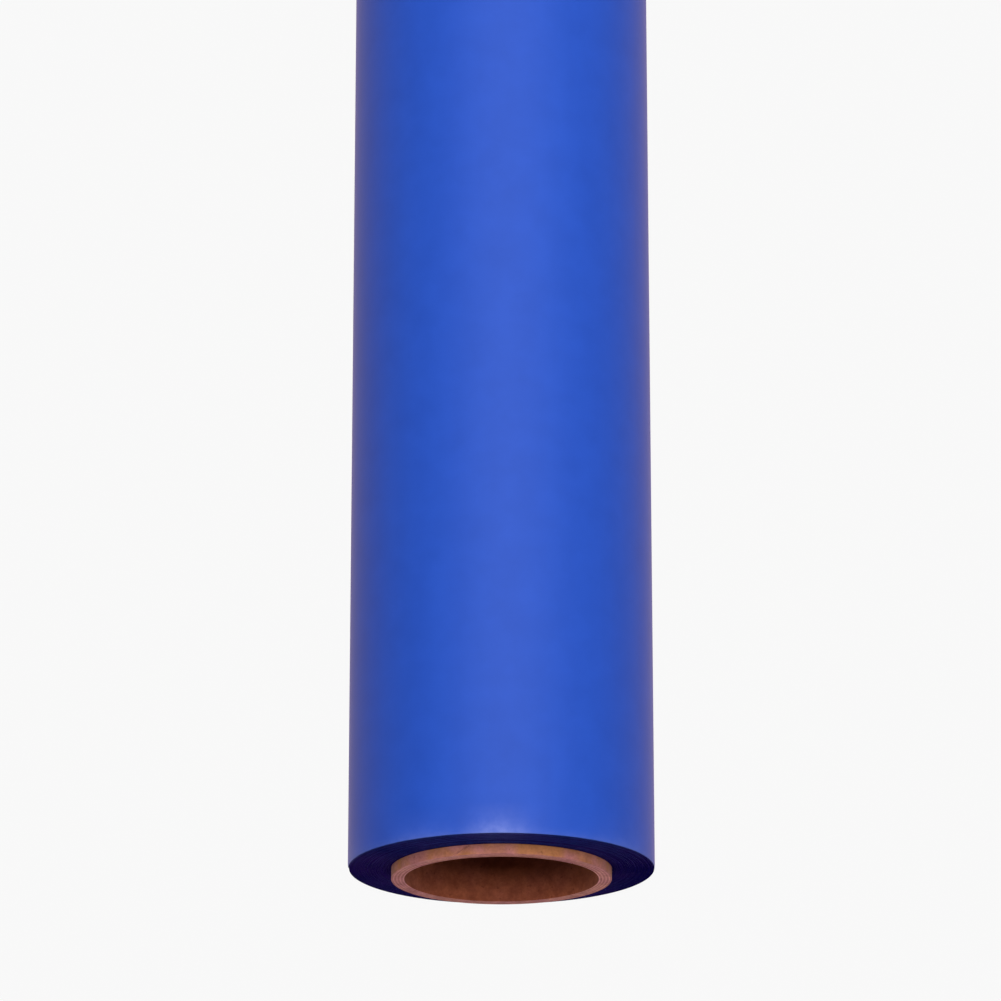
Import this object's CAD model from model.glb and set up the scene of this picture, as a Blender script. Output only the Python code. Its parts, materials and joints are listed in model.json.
import json
import math
import random

import bpy
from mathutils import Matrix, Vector, noise


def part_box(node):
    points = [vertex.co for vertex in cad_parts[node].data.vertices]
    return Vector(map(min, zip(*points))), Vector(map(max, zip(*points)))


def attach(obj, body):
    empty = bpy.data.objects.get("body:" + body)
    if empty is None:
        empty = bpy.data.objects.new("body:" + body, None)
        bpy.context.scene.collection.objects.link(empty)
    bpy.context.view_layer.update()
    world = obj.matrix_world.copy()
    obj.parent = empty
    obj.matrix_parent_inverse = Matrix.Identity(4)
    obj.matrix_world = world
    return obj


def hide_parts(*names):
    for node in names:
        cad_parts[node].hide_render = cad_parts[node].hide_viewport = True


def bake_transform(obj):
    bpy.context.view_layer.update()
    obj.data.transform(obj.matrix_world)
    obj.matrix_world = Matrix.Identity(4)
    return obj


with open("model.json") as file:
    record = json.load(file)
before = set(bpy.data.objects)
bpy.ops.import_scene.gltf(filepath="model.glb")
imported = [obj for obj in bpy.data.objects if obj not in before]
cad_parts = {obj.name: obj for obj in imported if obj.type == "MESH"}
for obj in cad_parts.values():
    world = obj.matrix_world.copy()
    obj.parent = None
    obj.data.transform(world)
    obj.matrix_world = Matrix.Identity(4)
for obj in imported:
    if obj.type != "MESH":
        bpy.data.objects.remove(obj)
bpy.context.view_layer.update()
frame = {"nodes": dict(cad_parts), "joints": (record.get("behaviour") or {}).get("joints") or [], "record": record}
print("frame loaded,", len(frame["nodes"]), "CAD pieces")

mm = 0.001

# the roll lies along Y, and angles go from +X towards +Z
mounts = {mount["name"]: mount for mount in frame["record"]["mounts"]}
hinges = [Vector(joint["pos_m"]) for joint in frame["joints"]]
boreRadius = mounts["core_bore"]["dims"]["r_mm"] * mm
coreEnd = mounts["core_bore"]["dims"]["length_mm"] * mm / 2
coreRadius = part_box("core_ply_8_cover")[1].x
rollRadius = math.hypot(hinges[0].x, hinges[0].z)
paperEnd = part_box("wound_paper")[1].y


def angleOf(point):
    return math.atan2(point.z, point.x) % (2 * math.pi)


leaveAngle = angleOf(hinges[0])          # where the outer turn leaves the roll
stripAngle = angleOf(hinges[1]) - leaveAngle
freeAngle = leaveAngle + len(hinges) * stripAngle


def onRoll(radius, angle, y):
    return Vector((radius * math.cos(angle), y, radius * math.sin(angle)))


def deselectAll():
    bpy.ops.object.select_all(action="DESELECT")


def activate(piece):
    deselectAll()
    piece.select_set(True)
    bpy.context.view_layer.objects.active = piece


def newPiece(name):
    piece = bpy.context.active_object
    piece.name = name
    piece.data.name = name
    return piece


def applyPlace(piece):
    activate(piece)
    bpy.ops.object.transform_apply(location=True, rotation=True, scale=True)


def applyModifier(piece, kind, **settings):
    activate(piece)
    modifier = piece.modifiers.new(kind.title(), kind)
    for key, value in settings.items():
        setattr(modifier, key, value)
    bpy.ops.object.modifier_apply(modifier=modifier.name)


def mergeDoubles(piece, distance=1e-6):
    activate(piece)
    bpy.ops.object.mode_set(mode="EDIT")
    bpy.ops.mesh.select_all(action="SELECT")
    bpy.ops.mesh.remove_doubles(threshold=distance)
    bpy.ops.object.mode_set(mode="OBJECT")


def smooth(piece, degrees=40):
    activate(piece)
    bpy.ops.object.shade_smooth_by_angle(angle=math.radians(degrees))


def newMaterial(name):
    material = bpy.data.materials.new(name)
    material.use_nodes = True
    return material, material.node_tree, material.node_tree.nodes["Principled BSDF"]


def addNode(tree, kind, **settings):
    node = tree.nodes.new(kind)
    for key, value in settings.items():
        if key in node.inputs:
            node.inputs[key].default_value = value
        else:
            setattr(node, key, value)
    return node


def mapped(tree, output, scale):
    source = addNode(tree, "ShaderNodeTexCoord")
    mapping = addNode(tree, "ShaderNodeMapping", Scale=scale)
    tree.links.new(source.outputs[output], mapping.inputs["Vector"])
    return mapping.outputs["Vector"]


def grain(tree, vector, scale, detail=2.0, roughness=0.5):
    node = addNode(tree, "ShaderNodeTexNoise", Scale=scale, Detail=detail, Roughness=roughness)
    tree.links.new(vector, node.inputs["Vector"])
    return node.outputs["Fac"]


def ramp(tree, fac, stops):
    node = addNode(tree, "ShaderNodeValToRGB")
    elements = node.color_ramp.elements
    while len(elements) < len(stops):
        elements.new(0.5)
    for element, (place, colour) in zip(elements, stops):
        element.position = place
        element.color = (*colour, 1)
    tree.links.new(fac, node.inputs["Fac"])
    return node.outputs["Color"]


def mix(tree, first, second, amount, blend="MIX"):
    node = addNode(tree, "ShaderNodeMix", data_type="RGBA", blend_type=blend)
    for value, socket in ((amount, node.inputs[0]), (first, node.inputs[6]), (second, node.inputs[7])):
        if isinstance(value, bpy.types.NodeSocket):
            tree.links.new(value, socket)
        elif isinstance(value, tuple):
            socket.default_value = (*value, 1)
        else:
            socket.default_value = value
    return node.outputs[2]


def calculate(tree, operation, first, second):
    node = addNode(tree, "ShaderNodeMath", operation=operation)
    for value, socket in ((first, node.inputs[0]), (second, node.inputs[1])):
        if isinstance(value, bpy.types.NodeSocket):
            tree.links.new(value, socket)
        else:
            socket.default_value = value
    return node.outputs[0]


def bump(tree, shader, height, distance, strength):
    node = addNode(tree, "ShaderNodeBump", Distance=distance, Strength=strength)
    tree.links.new(height, node.inputs["Height"])
    previous = shader.inputs["Normal"].links
    if previous:
        tree.links.new(previous[0].from_socket, node.inputs["Normal"])
    tree.links.new(node.outputs["Normal"], shader.inputs["Normal"])


def setShader(shader, **values):
    for key, value in values.items():
        shader.inputs[key.replace("_", " ")].default_value = value


paperFinish = {
    "deep": (0.0047, 0.0285, 0.190),
    "pale": (0.0057, 0.0320, 0.208),
    "fibreSize": 900,            # per metre of sheet
    "mottleSize": 120,
    "streakWide": 160,
    "streakLong": 3,
    "rubbed": (0.060, 0.085, 0.26),      # where the rims are rubbed pale
    "rubFibres": 420,
    "fibreDeep": 0.04 * mm,
}


def bluePaper():
    material, tree, shader = newMaterial("bluePaper")
    sheet = mapped(tree, "UV", (1, 1, 1))
    mottle = grain(tree, sheet, paperFinish["mottleSize"], 4, 0.6)
    colour = ramp(tree, mottle, [(0.3, paperFinish["deep"]), (0.7, paperFinish["pale"])])
    along = mapped(tree, "UV", (paperFinish["streakWide"], paperFinish["streakLong"], 1))
    streaks = ramp(tree, grain(tree, along, 1, 2), [(0.3, (0.95, 0.95, 0.97)), (0.7, (1, 1, 1))])
    colour = mix(tree, colour, streaks, 0.8, "MULTIPLY")
    colour = mix(tree, colour, paperFinish["rubbed"], rubbedRim(tree))
    tree.links.new(colour, shader.inputs["Base Color"])
    fibres = grain(tree, sheet, paperFinish["fibreSize"], 3, 0.6)
    bump(tree, shader, fibres, paperFinish["fibreDeep"], 0.3)
    setShader(shader, Roughness=0.6, IOR=1.42, Specular_IOR_Level=0.12, Sheen_Weight=0.09,
              Sheen_Roughness=0.4, Sheen_Tint=(1.0, 0.58, 0.72, 1))
    return material


def rubbedRim(tree):
    # the sheet says how worn it is, and fibres break it up
    worn = addNode(tree, "ShaderNodeAttribute", attribute_name="rubbed")
    fibres = grain(tree, mapped(tree, "UV", (1, 1, 1)), paperFinish["rubFibres"], 3, 0.65)
    uneven = ramp(tree, fibres, [(0.30, (0.55, 0.55, 0.55)), (0.60, (1, 1, 1))])
    return calculate(tree, "MULTIPLY", worn.outputs["Fac"], uneven)


edgeFinish = {
    "ringSize": 2600,            # per metre from the roll's axis
    "dustSize": 1100,
    "patchSize": 60,
    "dustShare": 0.3,
    "deep": (0.0020, 0.0012, 0.026),
    "pale": (0.0098, 0.0050, 0.092),
    "ringDeep": 0.08 * mm,
}


def paperEdge():
    # the cut edges of many turns, side by side, in faint rings
    material, tree, shader = newMaterial("paperEdge")
    place = mapped(tree, "Object", (1, 1, 1))
    fromAxis = addNode(tree, "ShaderNodeVectorMath", operation="LENGTH")
    tree.links.new(mapped(tree, "Object", (1, 0, 1)), fromAxis.inputs[0])
    rings = addNode(tree, "ShaderNodeTexNoise", noise_dimensions="1D", Scale=edgeFinish["ringSize"],
                    Detail=4, Roughness=0.75)
    tree.links.new(fromAxis.outputs["Value"], rings.inputs["W"])
    dust = grain(tree, place, edgeFinish["dustSize"], 3, 0.7)
    patches = grain(tree, place, edgeFinish["patchSize"], 3, 0.6)
    ringShare = calculate(tree, "MULTIPLY", rings.outputs["Fac"], 1 - edgeFinish["dustShare"])
    dustShare = calculate(tree, "MULTIPLY", dust, edgeFinish["dustShare"])
    layers = calculate(tree, "ADD", ringShare, dustShare)
    colour = ramp(tree, layers, [(0.38, edgeFinish["deep"]), (0.64, edgeFinish["pale"])])
    tint = ramp(tree, patches, [(0.42, (0.7, 0.7, 0.8)), (0.70, (2.8, 2.0, 1.2))])
    colour = mix(tree, colour, tint, 1.0, "MULTIPLY")
    tree.links.new(colour, shader.inputs["Base Color"])
    bump(tree, shader, layers, edgeFinish["ringDeep"], 0.5)
    setShader(shader, Roughness=0.95, Specular_IOR_Level=0)
    return material


boardFinish = {
    "patchSize": 75,             # per metre
    "pulpSize": 260,
    "fibreSize": 1500,
    "fleckSize": 640,
    "pulpDeep": 0.12 * mm,
    "fibreDeep": 0.05 * mm,
}


def board(name, dark, light, warm, roughness=0.8):
    # pulped board: two tints in broad patches, short fibres and dark flecks
    material, tree, shader = newMaterial(name)
    place = mapped(tree, "Object", (1, 1, 1))
    patches = grain(tree, place, boardFinish["patchSize"], 3, 0.55)
    pulp = grain(tree, place, boardFinish["pulpSize"], 4, 0.7)
    fibre = grain(tree, place, boardFinish["fibreSize"], 3, 0.65)
    flecks = grain(tree, place, boardFinish["fleckSize"], 2, 0.5)
    colour = ramp(tree, pulp, [(0.32, dark), (0.68, light)])
    tint = ramp(tree, patches, [(0.42, (1, 1, 1)), (0.58, warm)])
    colour = mix(tree, colour, tint, 1.0, "MULTIPLY")
    hairs = ramp(tree, fibre, [(0.35, (0.86, 0.84, 0.82)), (0.65, (1.06, 1.06, 1.06))])
    colour = mix(tree, colour, hairs, 1.0, "MULTIPLY")
    spots = ramp(tree, flecks, [(0.26, (0.50, 0.42, 0.36)), (0.33, (1, 1, 1))])
    colour = mix(tree, colour, spots, 0.7, "MULTIPLY")
    tree.links.new(colour, shader.inputs["Base Color"])
    bump(tree, shader, pulp, boardFinish["pulpDeep"], 0.35)
    bump(tree, shader, fibre, boardFinish["fibreDeep"], 0.5)
    setShader(shader, Roughness=roughness, IOR=1.4, Specular_IOR_Level=0.2)
    return material


tapeFinish = {
    "crepeRound": 1400,          # per metre: ridges are short round the roll and long along it
    "crepeAlong": 260,
    "dark": (0.22, 0.165, 0.085),
    "light": (0.30, 0.235, 0.13),
    "crepeDeep": 0.06 * mm,
}


def tapePaper():
    material, tree, shader = newMaterial("tapePaper")
    ridges = mapped(tree, "UV", (tapeFinish["crepeRound"], tapeFinish["crepeAlong"], 1))
    crepe = grain(tree, ridges, 1, 3, 0.6)
    colour = ramp(tree, crepe, [(0.3, tapeFinish["dark"]), (0.7, tapeFinish["light"])])
    tree.links.new(colour, shader.inputs["Base Color"])
    bump(tree, shader, crepe, tapeFinish["crepeDeep"], 0.6)
    setShader(shader, Roughness=0.6, IOR=1.45)
    return material


finishes = {
    "paper": bluePaper(),
    "paperEdge": paperEdge(),
    "liner": board("brownLiner", (0.160, 0.038, 0.016), (0.270, 0.073, 0.034), (0.95, 0.95, 1.10)),
    "board": board("greyBoard", (0.24, 0.105, 0.070), (0.38, 0.175, 0.120), (1.0, 0.92, 1.0)),
    "cover": board("kraftCover", (0.220, 0.082, 0.031), (0.300, 0.118, 0.048), (1.0, 0.95, 2.3), 0.7),
    "cut": board("cutBoard", (0.39, 0.145, 0.123), (0.62, 0.255, 0.225), (1.0, 0.93, 1.15), 0.9),
    "cutDark": board("cutBoardDark", (0.25, 0.092, 0.075), (0.45, 0.175, 0.150), (1.0, 0.93, 1.10), 0.9),
    "tape": tapePaper(),
}
print("finishes ready")


cutFacing = 0.7                  # how squarely a cut end looks along the roll


def paintEnds(piece, side, ends):
    # faces that look along the roll are cut ends, and the rest is the side
    piece.data.materials.clear()
    piece.data.materials.append(finishes[side])
    piece.data.materials.append(finishes[ends])
    for face in piece.data.polygons:
        face.material_index = 1 if abs(face.normal.y) > cutFacing else 0


camera = {
    "elevation": 72.2,           # degrees above the horizon
    "lens": 173.2,
    "sensor": 36,
    "distance": 1.2375,
    "aimUp": 0.0942,             # what the middle of the frame looks at, from the near end's centre
    "aimSide": -0.00026,
    "clip": (0.01, 100),
}


def setUpCamera():
    tilt = math.radians(90 - camera["elevation"])
    forward = Vector((0, math.sin(tilt), -math.cos(tilt)))
    up = Vector((0, math.cos(tilt), math.sin(tilt)))
    aim = Vector((camera["aimSide"], -paperEnd, 0)) + up * camera["aimUp"]
    bpy.ops.object.camera_add(location=aim - forward * camera["distance"], rotation=(tilt, 0, 0))
    shot = newPiece("camera")
    shot.data.lens = camera["lens"]
    shot.data.sensor_width = camera["sensor"]
    shot.data.clip_start, shot.data.clip_end = camera["clip"]
    bpy.context.scene.camera = shot


studio = {
    "pale": 0.93,                # of the floor, and of the walls up to eye height
    "ceiling": 0.05,
    "wallTop": (0.08, 0.36),     # sine of the height where the walls begin and end to darken
    "floorBelow": 2.4,           # a stand holds the roll this high
    "floorSize": 60,
    "floorGlow": 0.925,
    "floorShade": 0.02,
}


def setUpStudio():
    world = bpy.data.worlds.new("studio")
    bpy.context.scene.world = world
    world.use_nodes = True
    tree = world.node_tree
    direction = mapped(tree, "Generated", (1, 1, 1))
    split = addNode(tree, "ShaderNodeSeparateXYZ")
    tree.links.new(direction, split.inputs["Vector"])
    height = addNode(tree, "ShaderNodeMapRange", interpolation_type="SMOOTHSTEP")
    height.inputs["From Min"].default_value, height.inputs["From Max"].default_value = studio["wallTop"]
    tree.links.new(split.outputs["Z"], height.inputs["Value"])
    walls = mix(tree, (studio["pale"],) * 3, (studio["ceiling"],) * 3, height.outputs["Result"])
    tree.links.new(walls, tree.nodes["Background"].inputs["Color"])
    bpy.ops.mesh.primitive_plane_add(size=studio["floorSize"], location=(0, 0, -studio["floorBelow"]))
    floor = newPiece("floor")
    applyPlace(floor)
    material, _, shader = newMaterial("paleFloor")
    setShader(shader, Base_Color=(studio["floorShade"],) * 3 + (1,), Roughness=0.9, Specular_IOR_Level=0,
              Emission_Color=(1, 1, 1, 1), Emission_Strength=studio["floorGlow"])
    floor.data.materials.append(material)
    bpy.context.scene.view_settings.view_transform = "Standard"


softbox = {
    "above": 2.0,
    "aside": 0.16,               # towards +X, and it is tilted back to the roll
    "nearEnd": -1.08,
    "farEnd": 1.0,
    "wide": 2.2,
    "power": 172,
    "colour": (1.0, 0.985, 0.97),
}


def setUpSoftbox():
    place = (softbox["aside"], (softbox["nearEnd"] + softbox["farEnd"]) / 2, softbox["above"])
    tilt = math.atan2(softbox["aside"], softbox["above"])
    bpy.ops.object.light_add(type="AREA", location=place, rotation=(0, tilt, 0))
    light = newPiece("softbox")
    light.data.shape = "RECTANGLE"
    light.data.size = softbox["wide"]
    light.data.size_y = softbox["farEnd"] - softbox["nearEnd"]
    light.data.energy = softbox["power"]
    light.data.color = softbox["colour"]
    light.visible_camera = False


deselectAll()
setUpCamera()
setUpStudio()
setUpSoftbox()
print("camera, floor and softbox ready")


# plies of board wound in a spiral and glued one on the other
core = {
    "plies": 8,
    "stripWide": 96 * mm,        # how far one turn of a strip goes along the core
    "seam": 0.22 * mm,
    "glue": 0.02 * mm,
    "steps": 96,                 # flats round the core
    "seamAngle": 116.25,         # degrees, where the cover's seam meets the near end
    "seamLag": 41.25,            # from one ply's seam to the next
    "edgeRound": 0.07 * mm,
    "edgeAngle": 50,             # only edges sharper than this are rounded
    "unevenEnd": 0.10 * mm,
}
plyThick = (coreRadius - boreRadius) / core["plies"]


def windPly(number, name, side):
    inner = boreRadius + (number - 1) * plyThick
    angle = math.radians(core["seamAngle"] + (core["plies"] - number) * core["seamLag"])
    strip = core["stripWide"] - core["seam"]
    bpy.ops.mesh.primitive_plane_add(size=strip)
    ply = newPiece(name)
    # one side of the plane is kept, and wound round the core's axis
    bpy.ops.object.mode_set(mode="EDIT")
    bpy.ops.mesh.select_all(action="DESELECT")
    bpy.ops.object.mode_set(mode="OBJECT")
    for corner in ply.data.vertices:
        corner.select = corner.co.x > 0
    bpy.ops.object.mode_set(mode="EDIT")
    bpy.ops.mesh.delete(type="VERT")
    bpy.ops.object.mode_set(mode="OBJECT")
    start = -coreEnd - core["stripWide"]
    for corner, y in zip(ply.data.vertices, (start, start + strip)):
        corner.co = onRoll(inner, angle, y)
    turns = math.ceil(2 * coreEnd / core["stripWide"]) + 2
    applyModifier(ply, "SCREW", axis="Y", angle=2 * math.pi, screw_offset=core["stripWide"],
                  iterations=turns, steps=core["steps"], render_steps=core["steps"])
    cutEnds(ply, number)
    mergeDoubles(ply)
    face = ply.data.polygons[0]
    outward = face.normal.dot(Vector((face.center.x, 0, face.center.z))) > 0
    applyModifier(ply, "SOLIDIFY", thickness=plyThick - core["glue"], offset=1 if outward else -1,
                  use_even_offset=True)
    applyModifier(ply, "BEVEL", width=core["edgeRound"], segments=2, limit_method="ANGLE",
                  angle_limit=math.radians(core["edgeAngle"]))
    smooth(ply)
    paintEnds(ply, side, "cut" if number % 2 else "cutDark")
    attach(ply, "roll")
    return ply


def cutEnds(ply, number):
    # the saw leaves each ply a hair shorter or longer than the next
    uneven = random.Random(number)
    activate(ply)
    bpy.ops.object.mode_set(mode="EDIT")
    for way in (-1, 1):
        end = way * (coreEnd - uneven.uniform(0, core["unevenEnd"]))
        bpy.ops.mesh.select_all(action="SELECT")
        bpy.ops.mesh.bisect(plane_co=(0, end, 0), plane_no=(0, way, 0), clear_outer=True)
    bpy.ops.object.mode_set(mode="OBJECT")


def buildCore():
    plies = []
    for number in range(1, core["plies"] + 1):
        last = number == core["plies"]
        side = "liner" if number == 1 else "cover" if last else "board"
        node = f"core_ply_{number}" if side == "board" else f"core_ply_{number}_{side}"
        ply = windPly(number, "corePly" + str(number), side)
        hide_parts(node)
        plies.append(ply)
    return plies


plies = buildCore()
print("core wound,", len(plies), "plies")


# one long spiral of paper, whose last turn is in strips that open one after another
sheet = {
    "thick": 0.20 * mm,
    "pitch": 0.21 * mm,          # the sheet and the air under it
    "turns": 51.5,
    "turnSteps": 72,             # flats round an inner turn
    "stripSteps": 40,            # flats round one strip of the outer turn
    # mm from either end to each row of the mesh, close together where the rims are rounded and rubbed
    "innerRows": (0, 0.5, 1.2, 2, 60),
    "outerRows": (0, 0.15, 0.3, 0.5, 0.7, 0.95, 1.2, 2, 4, 8, 20, 45, 90, 180, 300, 450, 600),
    "shift": -0.60 * mm,         # how far the whole sheet sits towards the near end
    "slip": -0.15 * mm,          # and how far the inner turns have slid along the outer ones
    "slipTurns": 20,
    "unevenTurn": 0.05 * mm,
    "unevenOften": 0.83,         # noise steps a turn
    "unevenPlace": (2.7, 5.1),   # where in the noise, and any place would do
    "rimDrop": 0.16 * mm,        # the rims of the outer turns are rounded over
    "rimLong": 1.2 * mm,
    "rimTurns": 3,
    "rubAll": 0.22,              # how pale the whole rim is, fading within rubNarrow
    "rubNarrow": 2.2 * mm,
    "rubWide": 8 * mm,
    # degrees round the roll, half width and paleness of the worst spots
    "rubSpots": ((91, 7 * mm, 0.9), (121, 9 * mm, 0.25), (38, 12 * mm, 0.2), (168, 10 * mm, 0.4),
                 (214, 8 * mm, 0.8), (263, 14 * mm, 0.5), (327, 9 * mm, 0.7)),
}
innerAngle = freeAngle - sheet["turns"] * 2 * math.pi


def sheetRadius(angle):
    # of the sheet's outer face
    return rollRadius - sheet["pitch"] * (freeAngle - angle) / (2 * math.pi)


def sheetRun(fromAngle, toAngle):
    # length of sheet between two angles
    middle = (sheetRadius(fromAngle) + sheetRadius(toAngle) - sheet["thick"]) / 2
    return middle * (toAngle - fromAngle)


def endSlip(angle):
    turnsIn = (freeAngle - angle) / (2 * math.pi)
    slid = sheet["slip"] * (1 - math.exp(-turnsIn / sheet["slipTurns"]))
    wander = noise.noise(Vector((turnsIn * sheet["unevenOften"], *sheet["unevenPlace"])))
    return sheet["shift"] + slid + sheet["unevenTurn"] * wander


def rimDrop(angle, fromEnd):
    share = max(0, 1 - fromEnd / sheet["rimLong"])
    depth = max(0, 1 - (freeAngle - angle) / (2 * math.pi * sheet["rimTurns"]))
    return sheet["rimDrop"] * depth * share ** 2


def rubbedAt(angle, fromEnd):
    narrow = max(0, 1 - fromEnd / sheet["rubNarrow"]) ** 2
    wide = max(0, 1 - fromEnd / sheet["rubWide"]) ** 2
    worst = 0
    for degrees, half, pale in sheet["rubSpots"]:
        away = abs((math.degrees(angle) - degrees + 180) % 360 - 180)
        arc = math.radians(away) * rollRadius
        worst = max(worst, pale * math.exp(-(arc / half) ** 2))
    return min(1, sheet["rubAll"] * narrow + worst * wide)


def rowPlaces(rows):
    near = [-paperEnd + row * mm for row in rows]
    return near + [-place for place in reversed(near)]


def windSheet(name, fromAngle, toAngle, steps, rows):
    places = rowPlaces(rows)
    last = len(places) - 1
    bpy.ops.mesh.primitive_grid_add(x_subdivisions=steps, y_subdivisions=last, size=1)
    paper = newPiece(name)
    flat = []
    rubbed = paper.data.attributes.new("rubbed", "FLOAT", "POINT")
    for corner in paper.data.vertices:
        angle = fromAngle + (corner.co.x + 0.5) * (toAngle - fromAngle)
        y = places[round((corner.co.y + 0.5) * last)]
        flat.append((sheetRun(innerAngle, angle), y + paperEnd))
        rubbed.data[corner.index].value = rubbedAt(angle, paperEnd - abs(y))
        radius = sheetRadius(angle) - rimDrop(angle, paperEnd - abs(y))
        corner.co = onRoll(radius, angle, y + endSlip(angle))
    layer = paper.data.uv_layers.active.data
    for loop in paper.data.loops:
        layer[loop.index].uv = flat[loop.vertex_index]
    # the grid's faces look at the axis, so the thickness goes inwards
    applyModifier(paper, "SOLIDIFY", thickness=sheet["thick"], offset=1)
    smooth(paper)
    paintEnds(paper, "paper", "paperEdge")
    return paper


def buildWoundPaper():
    turns = (leaveAngle - innerAngle) / (2 * math.pi)
    steps = round(turns * sheet["turnSteps"])
    paper = windSheet("woundPaper", innerAngle, leaveAngle, steps, sheet["innerRows"])
    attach(paper, "roll")
    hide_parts("wound_paper")
    return paper


def hingeAngle(index):
    return leaveAngle + index * stripAngle


def buildOuterTurn():
    strips = []
    for index, joint in enumerate(frame["joints"]):
        start = hingeAngle(index) - stripAngle / 2 if index else leaveAngle
        lastStrip = index == len(frame["joints"]) - 1
        end = freeAngle if lastStrip else hingeAngle(index) + stripAngle / 2
        name = f"outerTurn{index + 1:02d}"
        strip = windSheet(name, start, end, sheet["stripSteps"], sheet["outerRows"])
        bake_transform(strip)
        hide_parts(f"outer_turn_{index + 1:02d}")
        strips.append(strip)
    return strips


woundPaper = buildWoundPaper()
outerTurn = buildOuterTurn()
print("sheet wound,", round(sheetRun(innerAngle, freeAngle), 2), "m of paper")


# three tapes hold the free edge
closingTape = {
    "wide": 25 * mm,
    "thick": 0.10 * mm,
    "hold": 9 * mm,              # on the sheet, before the free edge
    "reach": 10 * mm,            # past it, on the turn below
    "lift": 0.015 * mm,
    "step": 1.6 * mm,            # over which it comes down from the edge
    "tooth": 0.45 * mm,          # of the zigzag that a dispenser leaves
    "teeth": 16,
    "columns": 48,               # flats round the roll
    "rowsPerTooth": 4,
}


def underTape(angle):
    # the face that the tape lies on, with a soft step at the free edge
    above = sheetRadius(min(angle, freeAngle))
    below = sheetRadius(angle - 2 * math.pi)
    share = min(1, max(0, (angle - freeAngle) * rollRadius / closingTape["step"]))
    return above + (below - above) * share * share * (3 - 2 * share)


def layTape(name, middle, centreY, run, wide, thick, radiusAt, tooth=0.0, teeth=8):
    bpy.ops.mesh.primitive_grid_add(x_subdivisions=closingTape["columns"],
                                    y_subdivisions=teeth * closingTape["rowsPerTooth"], size=1)
    tape = newPiece(name)
    flat = []
    toothed = 0.499              # only the corners past this are on a cut end, at 0.5
    for corner in tape.data.vertices:
        u, v = corner.co.x, corner.co.y
        zigzag = abs(((v + 0.5) * teeth) % 1 - 0.5) * 2 * tooth
        along = u * run + (zigzag if u > toothed else -zigzag if u < -toothed else 0)
        angle = middle + along / rollRadius
        flat.append((along + run, v * wide + wide))
        corner.co = onRoll(radiusAt(angle), angle, centreY + v * wide)
    layer = tape.data.uv_layers.active.data
    for loop in tape.data.loops:
        layer[loop.index].uv = flat[loop.vertex_index]
    applyModifier(tape, "SOLIDIFY", thickness=thick, offset=-1)
    smooth(tape)
    tape.data.materials.append(finishes["tape"])
    return tape


def buildClosingTapes():
    tapes = []
    run = closingTape["hold"] + closingTape["reach"]
    middle = freeAngle + (closingTape["reach"] - closingTape["hold"]) / 2 / rollRadius
    for where in ("near", "middle", "far"):
        low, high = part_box("closing_tape_" + where)
        tape = layTape(where + "ClosingTape", middle, (low.y + high.y) / 2, run, closingTape["wide"],
                       closingTape["thick"], lambda angle: underTape(angle) + closingTape["lift"],
                       closingTape["tooth"], closingTape["teeth"])
        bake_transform(tape)
        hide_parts("closing_tape_" + where)
        tapes.append(tape)
    return tapes


startingTape = {
    "wide": 25 * mm,             # round the core
    "thick": 0.10 * mm,
    "glue": 0.01 * mm,
    "spacing": 1 / 3,            # of the sheet's width, from one length of tape to the next
}


def buildStartingTape():
    # three lengths, between the core and the first turn
    low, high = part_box("starting_tape")
    spacing = 2 * paperEnd * startingTape["spacing"]
    length = high.y - low.y - 2 * spacing
    radius = coreRadius + startingTape["glue"]
    turn = startingTape["wide"] / radius
    lengths = []
    for place in (-1, 0, 1):
        tape = layTape("startingTape" + str(place + 1), innerAngle, place * spacing,
                       turn * rollRadius, length, startingTape["thick"], lambda angle: radius)
        lengths.append(tape)
    activate(lengths[0])
    for tape in lengths:
        tape.select_set(True)
    bpy.ops.object.join()
    whole = newPiece("startingTape")
    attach(whole, "roll")
    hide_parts("starting_tape")


closingTapes = buildClosingTapes()
buildStartingTape()
print("tapes laid")

print("size written")
